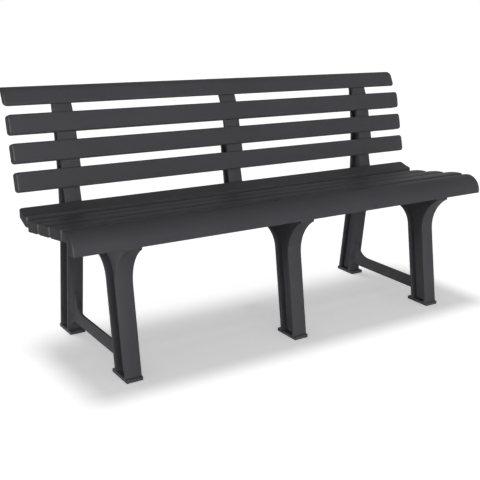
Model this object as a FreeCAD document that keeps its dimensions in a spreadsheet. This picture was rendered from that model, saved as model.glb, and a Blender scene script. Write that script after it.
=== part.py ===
import FreeCAD, Part
import math
import os
import Sketcher

# Three-seat slatted garden bench in moulded plastic.
# Millimetres, +X along the bench, +Y to the back, +Z up. The origin is on the floor under the
# middle of the bench. Two end frames and a middle frame are I-section mouldings. Five seat slats,
# three back slats and a top rail are ribbed channel mouldings, screwed to each frame.

Vector = FreeCAD.Vector

SIZES = {
    # Whole bench
    "bench_length": 1455,
    "bench_depth": 484,
    "bench_height": 732,
    "frame_spacing": 560,
    # Play between a frame and the slat that is notched over it
    "fit_gap": 0.5,
    # Frame sections
    "flange_width": 48,
    "flange_wall": 7,
    "web_wall": 8,
    "root_radius": 3,
    # Feet
    "foot_setback": 12,
    "front_foot_length": 88.5,
    "rear_foot_length": 83.5,
    "foot_height": 10,
    "foot_flare": 5,
    "foot_corner": 1,
    # Front leg: how far it stands back from the toe, its lean and its flared top
    "toe_setback": 6,
    "front_leg_depth": 65,
    "front_rake": 10.3,
    "trumpet_radius": 110,
    "trumpet_slope": 29.4,
    "tip_drop": 39.5,
    "tip_setback": 11,
    "tip_radius": 28,
    "leg_fillet": 70,
    # Rear leg and the upright that goes on from it
    "heel_setback": 5.5,
    "rear_leg_depth": 58,
    "rear_rake": 4.6,
    "rear_fillet": 45,
    "upright_lean": 11.3,
    "upright_curve": 1400,
    "upright_setback": 10.5,
    "upright_drop": 60,
    "upright_cap": 34,
    "upright_face": 30,
    "seat_corner": 6,
    # Bearer under the seat, and the plain stretcher between the legs
    "bearer_drop": 85.5,
    "bearer_step": 1.5,
    "stretcher_top": 72.5,
    "stretcher_bottom": 35,
    "stretcher_rear_fillet": 60,
    "stretcher_front_fillet": 15,
    # Middle frame: the back of its upright, which stops behind the second slat
    "middle_setback": 61,
    "middle_corner": 40,
    "middle_shelf": 8,
    # Flat strap at the front of each upright, which the back slats are screwed to
    "strap_width": 56,
    "strap_wall": 10,
    "strap_inset": 12,
    "strap_end": 6,
    "strap_top": 18,
    "rail_inset": 8.4,
    # Seat slats
    "seat_height": 405.5,
    "seat_rise": 8.5,
    "seat_slat_width": 75,
    "seat_slat_height": 31.5,
    "seat_gap": 7.2,
    "seat_crown_slope": 7,
    # Nose slat at the front edge of the seat
    "nose_width": 68,
    "nose_height": 27,
    "nose_radius": 50,
    "nose_drop": 29.5,
    "nose_lip": 22,
    "nose_rib_clear": 2,
    "nose_hollow_radius": 20,
    "nose_screw": 18,
    # Rear seat slat, which tips up towards the back
    "rear_slat_gap": 5.5,
    "rear_slat_depth": 55,
    "rear_slat_lift": 9,
    "rear_slat_slope": 22,
    "rear_slat_front": 31.3,
    "rear_slat_back": 46,
    "rear_top_slope": 18,
    "front_top_slope": 6,
    "hollow_radius": 80,
    # Back slats
    "back_lean": 15,
    "back_slat_height": 56,
    "back_slat_depth": 27,
    "back_gap": 23,
    "top_gap": 19,
    "back_crown_slope": 5,
    # Top rail
    "rail_setback": 12,
    "rail_height": 48,
    "rail_depth": 17,
    "rail_lean": 27,
    "rail_flat": 3.2,
    "rail_screw": 24,
    # Slat mouldings
    "slat_wall": 3.5,
    "edge_rounding": 5,
    "corner_rounding": 9,
    "rib_wall": 2.5,
    "rib_clear": 8,
    # Screws and what they pass through
    "screw_offset": 14,
    "screw_length": 15,
    "shank_diameter": 4,
    "head_diameter": 8.5,
    "head_height": 3,
    "shank_gap": 0.3,
    "pilot_spare": 0.5,
    "boss_diameter": 10,
    "boss_skin": 2,
    "access_diameter": 12,
}

SLAT_COUNT = 3
RIB_BAYS = 5
CUT_OVER = 2
CLOSE = 1e-4
FRAMES = {"left_frame": -1, "middle_frame": 0, "right_frame": 1}

document = FreeCAD.newDocument("bench")
sheet = document.addObject("Spreadsheet::Sheet", "Sizes")
for row, (alias, number) in enumerate(SIZES.items(), start=1):
    sheet.set(f"A{row}", alias)
    sheet.set(f"B{row}", str(number))
    sheet.setAlias(f"B{row}", alias)
document.recompute()


# Sizes that keep their formula, so that sketches and features follow the sheet

class Size:
    """A length or an angle: the sheet formula for it, and what that comes to."""

    def __init__(self, text, value):
        self.text = text
        self.value = value

    def __add__(self, other):
        other = as_size(other)
        return Size(f"({self.text} + {other.text})", self.value + other.value)

    def __sub__(self, other):
        other = as_size(other)
        return Size(f"({self.text} - {other.text})", self.value - other.value)

    def __mul__(self, other):
        other = as_size(other)
        return Size(f"({self.text} * {other.text})", self.value * other.value)

    def __truediv__(self, other):
        other = as_size(other)
        return Size(f"({self.text} / {other.text})", self.value / other.value)

    def __neg__(self):
        return Size(f"(0 - {self.text})", -self.value)

    __radd__ = __add__
    __rmul__ = __mul__

    def __rsub__(self, other):
        return as_size(other) - self


def as_size(number):
    return number if isinstance(number, Size) else Size(f"({float(number):.9g})", float(number))


def sine(angle):
    angle = as_size(angle)
    return Size(f"sin({angle.text} * 1deg)", math.sin(math.radians(angle.value)))


def cosine(angle):
    angle = as_size(angle)
    return Size(f"cos({angle.text} * 1deg)", math.cos(math.radians(angle.value)))


def tangent(angle):
    return sine(angle) / cosine(angle)


class SheetSizes:
    """Reads one driving dimension as S.name."""

    def __getattr__(self, alias):
        return Size(f"Sizes.{alias}", float(sheet.get(alias)))


S = SheetSizes()


# Outlines made of straight sides, each joined to the next by a corner or a tangent arc

class Side:
    """A side through (y, z), walked at a heading with the material on its left."""

    def __init__(self, y, z, heading, radius=None):
        self.y = as_size(y)
        self.z = as_size(z)
        self.heading = as_size(heading)
        self.radius = None if radius is None else as_size(radius)

    def inset(self, depth, radius=None):
        """The parallel side that lies deeper in the material."""
        y = self.y - depth * sine(self.heading)
        z = self.z + depth * cosine(self.heading)
        return Side(y, z, self.heading, radius)

    def joined(self, radius):
        """The same side with another radius at its far end."""
        return Side(self.y, self.z, self.heading, radius)

    def tipped(self, tilt):
        """The same side as seen from a piece that is tipped back by an angle."""
        y = self.y * cosine(tilt) - self.z * sine(tilt)
        z = self.y * sine(tilt) + self.z * cosine(tilt)
        return Side(y, z, self.heading + tilt, self.radius)


def corner(first, second):
    """Where two sides meet."""
    along = (second.y - first.y) * sine(second.heading) - (second.z - first.z) * cosine(second.heading)
    along = along / sine(second.heading - first.heading)
    return first.y + along * cosine(first.heading), first.z + along * sine(first.heading)


def tangent_run(first, second):
    """How far from their corner an arc leaves two sides."""
    run = first.radius * tangent((second.heading - first.heading) / 2)
    return run if run.value > 0 else -run


def point(place):
    return Vector(place[0].value, place[1].value, 0)


def corner_arc(start, end, radius):
    """The short arc of a radius, walked counter-clockwise from start to end."""
    chord = end - start
    depth = math.sqrt(radius ** 2 - chord.Length ** 2 / 4)
    centre = (start + end) / 2 + Vector(-chord.y, chord.x, 0).normalize() * depth
    angles = [math.atan2(spot.y - centre.y, spot.x - centre.x) for spot in (start, end)]
    if angles[1] < angles[0]:
        angles[1] += 2 * math.pi
    return Part.ArcOfCircle(Part.Circle(centre, Vector(0, 0, 1), radius), *angles)


def plane_of(body, role):
    return next(feature for feature in body.Origin.OriginFeatures if feature.Role == role)


def new_sketch(body, name, role, tilt=None, offset=(0, 0, 0)):
    """A sketch on one of the body's own planes, moved along it and tipped about its X axis."""
    sketch = body.newObject("Sketcher::SketchObject", name)
    sketch.AttachmentSupport = (plane_of(body, role), [""])
    sketch.MapMode = "FlatFace"
    moves = [as_size(move) for move in offset]
    angle = as_size(0 if tilt is None else tilt)
    turn = FreeCAD.Rotation(Vector(1, 0, 0), angle.value)
    sketch.AttachmentOffset = FreeCAD.Placement(Vector(*[move.value for move in moves]), turn)
    for axis, move in zip("xyz", moves):
        if move.value:
            sketch.setExpression(f"AttachmentOffset.Base.{axis}", move.text)
    if angle.value:
        sketch.setExpression("AttachmentOffset.Rotation.Angle", angle.text)
    return sketch


def bind(sketch, constraints):
    """Adds constraints, each with the formula that drives it."""
    first = sketch.ConstraintCount
    sketch.addConstraint([constraint for constraint, formula in constraints])
    for index, (constraint, formula) in enumerate(constraints, start=first):
        if formula is not None:
            sketch.setExpression(f"Constraints[{index}]", formula.text)


def pin(geometry, end, place):
    """Constraints that hold one end of a sketch element at a place."""
    across, up = place
    return [(Sketcher.Constraint("DistanceX", -1, 1, geometry, end, across.value), across),
            (Sketcher.Constraint("DistanceY", -1, 1, geometry, end, up.value), up)]


def draw(sketch, sides):
    """Draws a closed outline with its corners and radii driven by the sheet."""
    count = len(sides)
    meets = [corner(sides[i], sides[(i + 1) % count]) for i in range(count)]
    leaves, arrives = [], []
    for i, side in enumerate(sides):
        after = sides[(i + 1) % count]
        y, z = meets[i]
        run = as_size(0) if side.radius is None else tangent_run(side, after)
        leaves.append((y - run * cosine(side.heading), z - run * sine(side.heading)))
        arrives.append((y + run * cosine(after.heading), z + run * sine(after.heading)))
    starts = [arrives[i - 1] for i in range(count)]
    first = sketch.GeometryCount
    sketch.addGeometry([Part.LineSegment(point(starts[i]), point(leaves[i])) for i in range(count)])
    constraints = []
    for i, side in enumerate(sides):
        line, after = first + i, first + (i + 1) % count
        after_side = sides[(i + 1) % count]
        constraints += pin(line, 1, starts[i])
        if side.radius is None:
            constraints.append((Sketcher.Constraint("Coincident", line, 2, after, 1), None))
            continue
        constraints += pin(line, 2, leaves[i])
        leave, arrive = point(leaves[i]), point(arrives[i])
        convex = sine(after_side.heading - side.heading).value > 0
        ends = (leave, arrive) if convex else (arrive, leave)
        curve = sketch.addGeometry(corner_arc(*ends, side.radius.value))
        near, far = (1, 2) if convex else (2, 1)
        constraints.append((Sketcher.Constraint("Coincident", curve, near, line, 2), None))
        constraints.append((Sketcher.Constraint("Coincident", curve, far, after, 1), None))
        constraints.append((Sketcher.Constraint("Radius", curve, side.radius.value), side.radius))
    bind(sketch, constraints)
    return sketch


def outline(body, name, sides):
    """A closed outline in the body's side view."""
    return draw(new_sketch(body, name, "YZ_Plane"), sides)


def draw_circles(sketch, places, diameter):
    """Circles of one diameter, each centred at a driven place."""
    for place in places:
        place = [as_size(value) for value in place]
        circle = sketch.addGeometry(Part.Circle(point(place), Vector(0, 0, 1), diameter.value / 2))
        drive = (Sketcher.Constraint("Diameter", circle, diameter.value), diameter)
        bind(sketch, pin(circle, 3, place) + [drive])
    return sketch


# Features

def new_body(name):
    body = document.addObject("PartDesign::Body", name)
    body.Label = name
    return body


def pad(body, name, sketch, length, symmetric=True):
    """Adds the sketch's outline, to both sides of its plane unless told otherwise."""
    feature = body.newObject("PartDesign::Pad", name)
    feature.Profile = sketch
    feature.SideType = "Symmetric" if symmetric else "One side"
    feature.setExpression("Length", as_size(length).text)
    return feature


def cut(body, name, sketch, length, symmetric=False, along_normal=False):
    """Cuts the sketch's outline, against the normal of its plane unless told otherwise."""
    document.recompute()
    before = body.Shape.Volume
    feature = body.newObject("PartDesign::Pocket", name)
    feature.Profile = sketch
    feature.SideType = "Symmetric" if symmetric else "One side"
    feature.Reversed = along_normal
    feature.setExpression("Length", as_size(length).text)
    document.recompute()
    if not body.Shape.Volume < before:
        raise ValueError(f"{body.Label}: {name} cut nothing")
    return feature


def round_edges(body, name, edges, radius):
    """Rounds named edges of what the body comes to so far."""
    base = body.Tip
    fillet = body.newObject("PartDesign::Fillet", name)
    fillet.Base = (base, edges)
    fillet.setExpression("Radius", radius.text)


def mirror(body, name, feature):
    """Repeats a feature on the other side of the body's middle plane."""
    copy = body.newObject("PartDesign::Mirrored", name)
    copy.Originals = [feature]
    copy.MirrorPlane = (plane_of(body, "YZ_Plane"), [""])
    body.Tip = copy
    return copy


def row_of(body, name, feature, pitch, count):
    """Repeats a feature along the bench."""
    copy = body.newObject("PartDesign::LinearPattern", name)
    copy.Originals = [feature]
    copy.Direction = (plane_of(body, "YZ_Plane"), [""])
    copy.Mode = "Spacing"
    copy.setExpression("Offset", pitch.text)
    copy.Occurrences = count
    body.Tip = copy
    return copy


def place(body, y, z, tilt, x=0):
    """Puts a body in the bench, tipped back by an angle about its own X axis."""
    x, y, z, angle = as_size(x), as_size(y), as_size(z), -as_size(tilt)
    turn = FreeCAD.Rotation(Vector(1, 0, 0), angle.value)
    body.Placement = FreeCAD.Placement(Vector(x.value, y.value, z.value), turn)
    for axis, value in zip("xyz", (x, y, z)):
        body.setExpression(f"Placement.Base.{axis}", value.text)
    body.setExpression("Placement.Rotation.Angle", angle.text)


# Places that several pieces share

def half(length):
    return length / 2


def below_the_seat(drop):
    """A height that keeps its distance from the seat's."""
    return S.seat_height - drop


def seat_slat_pitch():
    return S.seat_slat_width + S.seat_gap


def seat_plane_height():
    """Height of the bearer's top at the middle of the bench."""
    return S.seat_height - S.seat_slat_height / cosine(S.seat_rise)


def nose_rear():
    """The nose slat's rear edge, measured back along the bearer's top."""
    return S.nose_width - half(S.bench_depth) / cosine(S.seat_rise)


def seat_slat_middle(index):
    """Middle of a seat slat along the bearer's top, counted from the front."""
    return nose_rear() + S.seat_gap + half(S.seat_slat_width) + seat_slat_pitch() * index


def on_seat_plane(along):
    """The point on the bearer's top at a distance along it."""
    return along * cosine(S.seat_rise), seat_plane_height() - along * sine(S.seat_rise)


def rear_slat_corner():
    """Bottom front corner of the rear seat slat."""
    last = seat_slat_middle(SLAT_COUNT - 1) + half(S.seat_slat_width)
    y = last * cosine(S.seat_rise) + S.seat_slat_height * sine(S.seat_rise) + S.rear_slat_gap
    return y, seat_plane_height() - y * tangent(S.seat_rise) + S.rear_slat_lift


def rail_corner():
    """Bottom front corner of the top rail, set so that its back is the back of the bench."""
    reach = S.rail_height * tangent(S.rail_lean) + S.rail_depth / cosine(S.rail_lean)
    return half(S.bench_depth) - reach, S.bench_height - S.rail_height


def in_back(down, depth):
    """The point at a distance down the back and a depth behind the faces of its slats."""
    y, z = rail_corner()
    y = y - S.rail_setback - down * sine(S.back_lean) + depth * cosine(S.back_lean)
    return y, z - down * cosine(S.back_lean) - depth * sine(S.back_lean)


def in_rail(up, depth):
    """The point at a distance up the top rail and a depth behind its face."""
    y, z = rail_corner()
    y = y + up * sine(S.rail_lean) + depth * cosine(S.rail_lean)
    return y, z + up * cosine(S.rail_lean) - depth * sine(S.rail_lean)


def back_slat_bottom(index):
    """How far down the back a slat's lower edge lies, counted from the top."""
    return S.top_gap + S.back_slat_height + (S.back_slat_height + S.back_gap) * index


def screw_offsets(frames=(0,)):
    """Where the screws lie along the bench, two to a frame."""
    return [S.frame_spacing * frame + S.screw_offset * side for frame in frames for side in (-1, 1)]


# Frames

def frame_sides():
    """The sides that the frames' outlines are made of, walked with the material on the left."""
    toe = S.foot_setback - half(S.bench_depth)
    heel = half(S.bench_depth) - S.foot_setback
    leg_front = toe + S.toe_setback
    leg_rear = heel - S.heel_setback
    ramp_y, ramp_z = rear_slat_corner()
    strap_back = S.strap_inset + S.strap_wall
    lowest = back_slat_bottom(SLAT_COUNT - 1)
    return {
        "floor": Side(0, 0, 0),
        "foot_top": Side(0, S.foot_height, 180),
        "front_foot_front": Side(toe, 0, -90),
        "front_foot_rear": Side(toe + S.front_foot_length, 0, 90),
        "front_leg_front": Side(leg_front, 0, -90 - S.front_rake),
        "front_leg_rear": Side(leg_front + S.front_leg_depth, 0, 90 - S.front_rake),
        "trumpet": Side(S.tip_setback - half(S.bench_depth), below_the_seat(S.tip_drop), -S.trumpet_slope),
        "tip": Side(S.tip_setback - half(S.bench_depth), 0, -90),
        "bearer_top": Side(0, seat_plane_height(), 180 - S.seat_rise),
        "step": Side(ramp_y - S.rear_slat_gap, 0, -90),
        "ramp": Side(ramp_y, ramp_z, 180 + S.rear_slat_slope),
        "underside": Side(0, below_the_seat(S.bearer_drop), 0),
        "post_front": Side(*in_back(0, S.upright_face), -90 - S.back_lean),
        "strap_foot": Side(*in_back(lowest - S.strap_end, 0), -S.back_lean),
        "strap": Side(*in_back(0, S.strap_inset), -90 - S.back_lean),
        "rail_strap": Side(*in_rail(0, S.rail_inset), -90 - S.rail_lean),
        "head": Side(0, S.bench_height - S.strap_top, 180),
        "rail_strap_back": Side(*in_rail(0, S.rail_inset + S.strap_wall), 90 - S.rail_lean),
        "strap_back": Side(*in_back(0, strap_back), 90 - S.back_lean),
        "shelf": Side(*in_back(back_slat_bottom(1) - S.middle_shelf, 0), 180 - S.back_lean),
        "middle_rear": Side(half(S.bench_depth) - S.middle_setback, S.seat_height,
                            90 - S.upright_lean),
        "upright_rear": Side(half(S.bench_depth) - S.upright_setback,
                             S.bench_height - S.upright_drop, 90 - S.upright_lean),
        "rear_leg_rear": Side(leg_rear, 0, 90 + S.rear_rake),
        "rear_leg_front": Side(leg_rear - S.rear_leg_depth, 0, S.rear_rake - 90),
        "rear_foot_front": Side(heel - S.rear_foot_length, 0, -90),
        "rear_foot_rear": Side(heel, 0, 90),
    }


def front_of_frame(sides):
    """From the strap's lower end down the post, along the bearer and down the front leg."""
    return [
        sides["strap"],
        sides["strap_foot"].joined(S.root_radius),
        sides["post_front"].joined(S.seat_corner),
        sides["ramp"].joined(S.bearer_step),
        sides["step"].joined(S.bearer_step),
        sides["bearer_top"].joined(S.tip_radius),
        sides["tip"],
        sides["trumpet"].joined(S.trumpet_radius),
        sides["front_leg_front"].joined(S.foot_flare),
        sides["foot_top"].joined(S.foot_corner),
        sides["front_foot_front"],
        sides["floor"],
        sides["front_foot_rear"].joined(S.foot_corner),
        sides["foot_top"].joined(S.foot_flare),
        sides["front_leg_rear"].joined(S.leg_fillet),
    ]


def front_of_recess(sides):
    """The same stretch along the recess, a flange's thickness further in."""
    wall, root = S.flange_wall, S.root_radius
    return [
        sides["strap"].inset(S.strap_wall, root),
        sides["strap_foot"].inset(wall, root),
        sides["post_front"].inset(wall, S.seat_corner + wall),
        sides["ramp"].inset(wall, root),
        sides["step"].inset(wall, S.bearer_step),
        sides["bearer_top"].inset(wall, S.tip_radius - wall),
        sides["tip"].inset(wall, root),
        sides["trumpet"].inset(wall, S.trumpet_radius + wall),
        sides["front_leg_front"].inset(wall, root),
        Side(0, S.foot_height, 0, root),
        sides["front_leg_rear"].inset(wall, S.leg_fillet + wall),
    ]


def end_outlines(sides):
    """Outline and recess of an end frame."""
    wall, root = S.flange_wall, S.root_radius
    recess_top = S.bench_height - S.strap_top - S.upright_cap
    silhouette = front_of_frame(sides) + [
        sides["underside"].joined(S.rear_fillet),
        sides["rear_leg_front"].joined(S.foot_flare),
        sides["foot_top"].joined(S.foot_corner),
        sides["rear_foot_front"],
        sides["floor"],
        sides["rear_foot_rear"].joined(S.foot_corner),
        sides["foot_top"].joined(S.foot_flare),
        sides["rear_leg_rear"].joined(S.upright_curve),
        sides["upright_rear"],
        sides["head"],
        sides["rail_strap"],
    ]
    recess = front_of_recess(sides) + [
        sides["underside"].inset(wall, S.rear_fillet + wall),
        sides["rear_leg_front"].inset(wall, root),
        Side(0, S.foot_height, 0, root),
        sides["rear_leg_rear"].inset(wall, S.upright_curve + wall),
        sides["upright_rear"].inset(wall, root),
        Side(0, recess_top, 180, root),
        sides["rail_strap"].inset(S.strap_wall),
    ]
    return silhouette, recess


def middle_outlines(sides):
    """Outline and recess of the middle frame, which has no rear leg."""
    wall, root = S.flange_wall, S.root_radius
    silhouette = front_of_frame(sides) + [
        sides["underside"].joined(S.middle_corner),
        sides["middle_rear"],
        sides["shelf"].joined(root),
        sides["strap_back"],
        sides["rail_strap_back"],
        sides["head"],
        sides["rail_strap"],
    ]
    recess = front_of_recess(sides) + [
        sides["underside"].inset(wall, S.middle_corner - wall),
        sides["middle_rear"].inset(wall, root),
        sides["shelf"].inset(wall, root),
    ]
    return silhouette, recess


def moulded_frame(name, silhouette, recess, sides):
    """The I-section moulding: its outline, a recess in each side and the wider strap."""
    body = new_body(name)
    pad(body, "Outline", outline(body, "OutlineSketch", silhouette), S.flange_width)
    sketch = new_sketch(body, "RecessSketch", "YZ_Plane", offset=(0, 0, half(S.flange_width)))
    right = cut(body, "Recess", draw(sketch, recess), half(S.flange_width - S.web_wall))
    mirror(body, "OtherRecess", right)
    names = ("strap_foot", "strap_back", "rail_strap_back", "head", "rail_strap", "strap")
    pad(body, "Strap", outline(body, "StrapSketch", [sides[key] for key in names]), S.strap_width)
    return body


def add_stretcher(body, sides):
    """The plain plate between the legs, in line with the web and filleted up into the flanges."""
    into = half(S.flange_wall)
    front_cap = S.stretcher_top + S.stretcher_front_fillet * 2
    rear_cap = S.stretcher_top + S.stretcher_rear_fillet * 2
    front, rear = sides["front_leg_rear"], sides["rear_leg_front"]
    plate = [
        Side(0, S.stretcher_bottom, 0),
        Side(rear.y + into, rear.z, rear.heading + 180),
        Side(0, rear_cap, 180),
        rear.joined(S.stretcher_rear_fillet),
        Side(0, S.stretcher_top, 180, S.stretcher_front_fillet),
        front,
        Side(0, front_cap, 180),
        Side(front.y - into, front.z, front.heading - 180),
    ]
    pad(body, "Stretcher", outline(body, "StretcherSketch", plate), S.web_wall)


def bore(body, name, role, tilt, offset, places, diameter, length):
    """Round holes cut against the normal of a tilted plane."""
    sketch = new_sketch(body, name + "Sketch", role, tilt, offset)
    return cut(body, name, draw_circles(sketch, places, diameter), length)


def add_seat_holes(body):
    """Screw holes through the bearer's top, and access holes under those the leg leaves room for."""
    hole = S.shank_diameter + S.shank_gap * 2
    through = S.flange_wall + S.pilot_spare
    middles = [seat_slat_middle(index) for index in range(SLAT_COUNT)]
    alongs = [nose_rear() - S.nose_screw] + middles
    level = (0, 0, seat_plane_height())
    places = [(x, along) for along in alongs for x in screw_offsets()]
    bore(body, "SeatHoles", "XY_Plane", -S.seat_rise, level, places, hole, through)
    ramp_y, ramp_z = rear_slat_corner()
    rise = half(S.rear_slat_depth) / cosine(S.rear_slat_slope)
    places = [(x, rise) for x in screw_offsets()]
    bore(body, "RampHoles", "XY_Plane", S.rear_slat_slope, (0, ramp_y, ramp_z), places, hole, through)
    ways = [below_seat(along) for along in middles[1:]] + [below_ramp(rise)]
    places = [(x, y) for y in ways for x in screw_offsets()]
    level = (0, 0, below_the_seat(S.bearer_drop) + S.flange_wall * 2)
    bore(body, "SeatAccess", "XY_Plane", None, level, places, S.access_diameter, S.rear_fillet)


def below_seat(along):
    """Where the line of a seat screw comes to the bearer's underside."""
    y, z = on_seat_plane(along)
    return y - (z - below_the_seat(S.bearer_drop)) * tangent(S.seat_rise)


def below_ramp(rise):
    """Where the line of a rear slat screw comes to the bearer's underside."""
    y, z = rear_slat_corner()
    y = y + rise * cosine(S.rear_slat_slope)
    z = z + rise * sine(S.rear_slat_slope)
    return y + (z - below_the_seat(S.bearer_drop)) * tangent(S.rear_slat_slope)


def add_back_holes(body, reached):
    """Screw holes through the strap, and access holes behind the slats that need them."""
    hole = S.shank_diameter + S.shank_gap * 2
    through = S.strap_wall + S.pilot_spare
    downs = [back_slat_bottom(index) - half(S.back_slat_height) for index in range(SLAT_COUNT)]
    y, z = in_back(0, S.strap_inset)
    places = [(x, -down) for down in downs for x in screw_offsets()]
    bore(body, "BackHoles", "XZ_Plane", -S.back_lean, (0, z, -y), places, hole, through)
    y, z = in_back(0, S.strap_inset + S.strap_wall)
    places = [(x, -downs[index]) for index in reached for x in screw_offsets()]
    bore(body, "BackAccess", "XZ_Plane", -S.back_lean, (0, z, -y), places, S.access_diameter,
         S.rear_leg_depth)
    y, z = in_rail(0, S.rail_inset)
    places = [(x, S.rail_screw) for x in screw_offsets()]
    bore(body, "RailHoles", "XZ_Plane", -S.rail_lean, (0, z, -y), places, hole, through)


def add_rail_access(body):
    """Counterbores for the rail's screws in the solid head of an end frame."""
    y, z = in_rail(0, S.rail_inset + S.strap_wall)
    places = [(x, S.rail_screw) for x in screw_offsets()]
    bore(body, "RailAccess", "XZ_Plane", -S.rail_lean, (0, z, -y), places, S.access_diameter,
         S.upright_cap)


def end_frame(name):
    sides = frame_sides()
    body = moulded_frame(name, *end_outlines(sides), sides)
    add_stretcher(body, sides)
    add_seat_holes(body)
    add_back_holes(body, reached=range(SLAT_COUNT))
    add_rail_access(body)
    return body


def middle_frame(name):
    sides = frame_sides()
    body = moulded_frame(name, *middle_outlines(sides), sides)
    add_seat_holes(body)
    add_back_holes(body, reached=(SLAT_COUNT - 1,))
    return body


def make_frame(name, along):
    body = end_frame(name) if along else middle_frame(name)
    place(body, 0, 0, 0, S.frame_spacing * along)
    return body


# Slats

def is_rim(side):
    """Whether a side of a slat's skin runs into the next one over a rounded edge."""
    return side.radius is not None and side.radius.text == S.edge_rounding.text


def sharp(skin):
    """The skin's sides before its edges are rounded."""
    return [side.joined(None) if is_rim(side) else side for side in skin]


def lining(skin, depth):
    """The skin's sides moved in by a depth, with its arcs kept concentric."""
    lined = []
    for side, after in zip(skin, skin[1:] + [None]):
        radius = None
        if side.radius is not None and after is not None:
            hollow = sine(after.heading - side.heading).value < 0
            radius = side.radius + depth if hollow else side.radius - depth
        lined.append(side.inset(depth, radius))
    return lined


def middle_of(edge):
    return edge.valueAt((edge.FirstParameter + edge.LastParameter) / 2)


def edges_on(body, wall, reach):
    """Names of the edges that lie on a straight wall at both ends of a slat."""
    heading = math.radians(wall.heading.value)
    names = []
    for number, edge in enumerate(body.Shape.Edges, start=1):
        middle = middle_of(edge)
        away = (middle.z - wall.z.value) * math.cos(heading)
        away -= (middle.y - wall.y.value) * math.sin(heading)
        at_end = edge.BoundBox.XLength < CLOSE and abs(abs(middle.x) - reach.value) < CLOSE
        if at_end and abs(away) < CLOSE:
            names.append(f"Edge{number}")
    return names


def edges_through(body, place):
    """Names of the edges that run along the bench through a place of its side view."""
    names = []
    for number, edge in enumerate(body.Shape.Edges, start=1):
        away = middle_of(edge) - Vector(0, place[0].value, place[1].value)
        away.x = 0
        if edge.BoundBox.XLength > S.frame_spacing.value and away.Length < CLOSE:
            names.append(f"Edge{number}")
    return names


def round_corners(body, name, skin, sides, reach, radius):
    """Rounds the upright corners at a slat's ends, where its walls have a rounded edge."""
    document.recompute()
    walls = [sides[0]] if is_rim(skin[0]) else []
    walls += [sides[-1]] if is_rim(skin[-2]) else []
    names = [edge for wall in walls for edge in edges_on(body, wall, reach)]
    round_edges(body, name, names, radius)


def round_rim(body, name, skin, sides, radius):
    """Rounds the edges along a slat, and with them the ends that they lead into."""
    document.recompute()
    rims = [corner(*pair) for side, *pair in zip(skin, sides, sides[1:]) if is_rim(side)]
    names = [edge for rim in rims for edge in edges_through(body, rim)]
    round_edges(body, name, names, radius)


def channel(name, skin, mouth, hollow_mouth, rib_mouth):
    """A channel moulding: rounded outer skin, even walls and cross ribs."""
    body = new_body(name)
    outside, inside = sharp(skin), lining(sharp(skin), S.slat_wall)
    reach = half(S.bench_length)
    pad(body, "Skin", outline(body, "SkinSketch", mouth + outside), S.bench_length)
    round_corners(body, "Corners", skin, outside, reach, S.corner_rounding)
    round_rim(body, "Rim", skin, outside, S.edge_rounding)
    reach = reach - S.slat_wall
    cut(body, "Hollow", outline(body, "HollowSketch", hollow_mouth + inside), reach * 2, symmetric=True)
    round_corners(body, "HollowCorners", skin, inside, reach, S.corner_rounding - S.slat_wall)
    pitch = S.frame_spacing / RIB_BAYS
    sketch = new_sketch(body, "RibSketch", "YZ_Plane", offset=(0, 0, -(pitch * (RIB_BAYS + 0.5))))
    draw(sketch, rib_mouth + lining(skin, half(S.slat_wall)))
    rib = pad(body, "Rib", sketch, S.rib_wall)
    row_of(body, "Ribs", rib, pitch, 2 * (RIB_BAYS + 1))
    return body


def add_bosses(body, role, offset, up, height, depth):
    """Screw bosses at the three frames, each with a pilot hole from its foot."""
    places = [(x, up) for x in screw_offsets(FRAMES.values())]
    sketch = draw_circles(new_sketch(body, "BossSketch", role, None, offset), places, S.boss_diameter)
    pad(body, "Bosses", sketch, height, symmetric=False)
    sketch = new_sketch(body, "PilotSketch", role, None, offset)
    draw_circles(sketch, places, S.shank_diameter + S.shank_gap * 2)
    cut(body, "Pilots", sketch, depth, along_normal=True)


def pilot_depth(wall):
    """Depth of the pilot holes for screws that come through a wall."""
    return S.screw_length - wall + S.pilot_spare


def straddle(body, face, bottom, top):
    """Notches that let the skirts pass the strap at each frame."""
    reach = half(S.strap_width) + S.fit_gap
    sketch = new_sketch(body, "NotchSketch", "XZ_Plane", offset=(0, 0, S.fit_gap - face))
    for frame in FRAMES.values():
        middle = S.frame_spacing * frame
        notch = [Side(0, bottom, 0), Side(middle + reach, 0, 90), Side(0, top, 180),
                 Side(middle - reach, 0, -90)]
        draw(sketch, notch)
    cut(body, "Notches", sketch, S.back_slat_depth)


def crown(width, slope):
    """How far a slat's edges lie below its crown, and the crown's radius."""
    fall = half(width) * tangent(half(slope))
    return fall, (half(width) - S.edge_rounding * 2) / sine(slope)


def seat_slat(name, index):
    """A level seat slat, open below."""
    side = half(S.seat_slat_width)
    fall, radius = crown(S.seat_slat_width, S.seat_crown_slope)
    shoulder = S.seat_slat_height - fall
    skin = [
        Side(side, 0, 90, S.edge_rounding),
        Side(side, shoulder, 180 - S.seat_crown_slope, radius),
        Side(-side, shoulder, 180 + S.seat_crown_slope, S.edge_rounding),
        Side(-side, 0, 270),
    ]
    body = channel(name, skin, [Side(0, 0, 0)], [Side(0, -CUT_OVER, 0)], [Side(0, S.rib_clear, 0)])
    add_bosses(body, "XY_Plane", (0, 0, 0), 0, S.seat_slat_height - S.boss_skin,
               pilot_depth(S.flange_wall))
    place(body, *on_seat_plane(seat_slat_middle(index)), S.seat_rise)
    return body


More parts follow.
